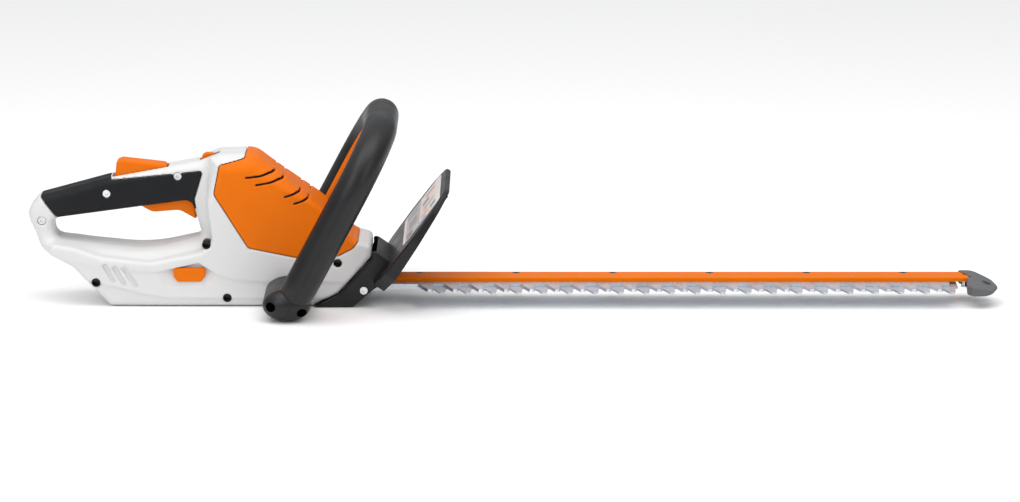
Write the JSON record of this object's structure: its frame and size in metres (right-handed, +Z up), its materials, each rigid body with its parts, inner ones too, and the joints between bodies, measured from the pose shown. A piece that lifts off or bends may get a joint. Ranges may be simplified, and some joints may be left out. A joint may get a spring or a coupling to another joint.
{
  "type": "cordless hedge trimmer",
  "caption": "Battery hedge trimmer: rear trigger handle, loop handle with switch bail, hand guard, and counter-moving toothed blades with tip guard.",
  "frame": {"origin": "on the plane the tool rests on, below the middle of its overall length and width", "axes": "+X along the blades towards the tip, +Z up, +Y towards the side away from the teeth"},
  "size_m": [0.9165, 0.2164, 0.1864],
  "materials": {
    "shell_white": "fine satin moulding",
    "shell_white_left": "fine satin moulding",
    "cover_orange": "satin moulding",
    "grip_soft": "soft matt",
    "grip_soft_left": "soft matt",
    "screw_steel": "zinc plated",
    "handle_screw_steel": "bright zinc plated",
    "trigger_orange": "satin",
    "pin_steel": "ground",
    "lever_orange": "satin",
    "lever_pin_steel": "ground",
    "spring_wire": "drawn wire",
    "lock_spring_wire": "drawn wire",
    "seat_plastic": "moulded",
    "switch_body": "moulded",
    "slide_orange": "satin",
    "key_orange": "satin",
    "socket_plastic": "moulded",
    "cell_wrap": "shrink wrapped",
    "holder_rear_plastic": "moulded",
    "holder_front_plastic": "moulded",
    "nickel_strip": "bright",
    "battery_board_laminate": "soldered board",
    "control_board_laminate": "soldered board",
    "jack_plastic": "moulded",
    "led_lens": "clear green",
    "can_steel": "zinc plated",
    "end_cap_plastic": "moulded",
    "magnet_ferrite": "sintered",
    "rotor_steel": "laminated",
    "pinion_steel": "cut steel",
    "fan_plastic": "moulded",
    "gearbox_alloy": "die cast",
    "gearbox_cover_alloy": "die cast",
    "gearbox_screw_steel": "zinc plated",
    "lower_bearing_steel": "ground",
    "upper_bearing_steel": "ground",
    "crank_steel": "hardened",
    "gear_steel": "moulded nylon, greased",
    "upper_blade_steel": "laser cut and ground",
    "lower_blade_steel": "laser cut and ground",
    "rail_orange": "powder coated",
    "bolt_steel": "black zinc",
    "washer_steel": "zinc plated",
    "nut_steel": "zinc plated",
    "tip_grey": "moulded",
    "tip_screw_steel": "zinc plated",
    "bracket_steel": "die cast",
    "guard_black": "moulded",
    "label_film": "printed film with plain blocks of colour",
    "guard_screw_steel": "bright zinc plated",
    "loop_black": "moulded",
    "loop_rear_black": "moulded",
    "bail_orange": "satin",
    "loop_screw_steel": "zinc plated"
  },
  "bodies": {
    "housing": {"housing_shell_right": "shell_white", "housing_shell_left": "shell_white_left", "motor_cover": "cover_orange", "grip_pad_right": "grip_soft", "grip_pad_left": "grip_soft_left", "housing_screws": "screw_steel", "handle_screws": "handle_screw_steel", "trigger_pin": "pin_steel", "lock_lever_pin": "lever_pin_steel", "trigger_spring": "spring_wire", "lock_spring": "lock_spring_wire", "spring_seats": "seat_plastic", "trigger_switch": "switch_body", "key_socket": "socket_plastic", "battery_cells": "cell_wrap", "cell_holder_rear": "holder_rear_plastic", "cell_holder_front": "holder_front_plastic", "cell_links": "nickel_strip", "battery_board": "battery_board_laminate", "control_board": "control_board_laminate", "charging_socket": "jack_plastic", "charge_led": "led_lens", "motor_can": "can_steel", "motor_end_cap": "end_cap_plastic", "motor_magnets": "magnet_ferrite", "gearbox_base": "gearbox_alloy", "gearbox_cover": "gearbox_cover_alloy", "gearbox_screws": "gearbox_screw_steel", "lower_bearing": "lower_bearing_steel", "upper_bearing": "upper_bearing_steel", "blade_rail": "rail_orange", "blade_bolts": "bolt_steel", "blade_washers": "washer_steel", "blade_nuts": "nut_steel", "tip_guard": "tip_grey", "tip_screw": "tip_screw_steel", "blade_bracket": "bracket_steel", "hand_guard": "guard_black", "guard_label": "label_film", "guard_screws": "guard_screw_steel", "loop_front_half": "loop_black", "loop_rear_half": "loop_rear_black", "loop_screws": "loop_screw_steel"},
    "bail": {"loop_switch_bail": "bail_orange"},
    "trigger_body": {"trigger": "trigger_orange"},
    "lever_body": {"lock_lever": "lever_orange"},
    "slide_body": {"unlock_slide": "slide_orange"},
    "key_body": {"activation_key": "key_orange"},
    "crank": {"crank_cams": "crank_steel", "crank_gear": "gear_steel"},
    "rotor_body": {"rotor": "rotor_steel", "motor_pinion": "pinion_steel", "cooling_fan": "fan_plastic"},
    "upper_blade_body": {"upper_blade": "upper_blade_steel"},
    "lower_blade_body": {"lower_blade": "lower_blade_steel"}
  },
  "joints": [
    {"name": "crank_spin", "type": "hinge", "parent": "housing", "child": "crank", "pos_m": [-0.2036, 0, 0.02], "axis": [0, 0, 1], "range_deg": [-90, 90]},
    {"name": "rotor_spin", "type": "hinge", "parent": "housing", "child": "rotor_body", "pos_m": [-0.236, 0, 0.06], "axis": [0, 0, 1], "range_deg": [-450.5, 450.5]},
    {"name": "upper_blade_stroke", "type": "slide", "parent": "housing", "child": "upper_blade_body", "axis": [1, 0, 0], "range_m": [-0.006, 0.006]},
    {"name": "lower_blade_stroke", "type": "slide", "parent": "housing", "child": "lower_blade_body", "axis": [1, 0, 0], "range_m": [-0.006, 0.006]},
    {"name": "trigger_pull", "type": "hinge", "parent": "housing", "child": "trigger_body", "pos_m": [-0.306, 0, 0.1035], "axis": [0, 1, 0], "range_deg": [0, 7], "stiffness_Nm_per_rad": 1.2, "springref_deg": -6.88, "deforming": ["trigger_spring"]},
    {"name": "lock_lever_press", "type": "hinge", "parent": "housing", "child": "lever_body", "pos_m": [-0.331, 0, 0.1195], "axis": [0, -1, 0], "range_deg": [0, 6], "stiffness_Nm_per_rad": 0.9, "springref_deg": -6.88, "deforming": ["lock_spring"]},
    {"name": "unlock_push", "type": "slide", "parent": "housing", "child": "slide_body", "axis": [1, 0, 0], "range_m": [0, 0.0035], "stiffness_N_per_m": 180, "springref_m": -0.003},
    {"name": "key_pull", "type": "slide", "parent": "housing", "child": "key_body", "axis": [0, -1, 0], "range_m": [0, 0.016]},
    {"name": "bail_squeeze", "type": "slide", "parent": "housing", "child": "bail", "axis": [0.4695, 0, 0.8829], "range_m": [0, 0.003], "stiffness_N_per_m": 900, "springref_m": -0.005}
  ],
  "couplings": [
    {"joint": "rotor_spin", "follows": "upper_blade_stroke", "rad_per_m": 1309},
    {"joint": "crank_spin", "follows": "upper_blade_stroke", "rad_per_m": -261.79},
    {"joint": "lower_blade_stroke", "follows": "upper_blade_stroke", "ratio": -1}
  ]
}
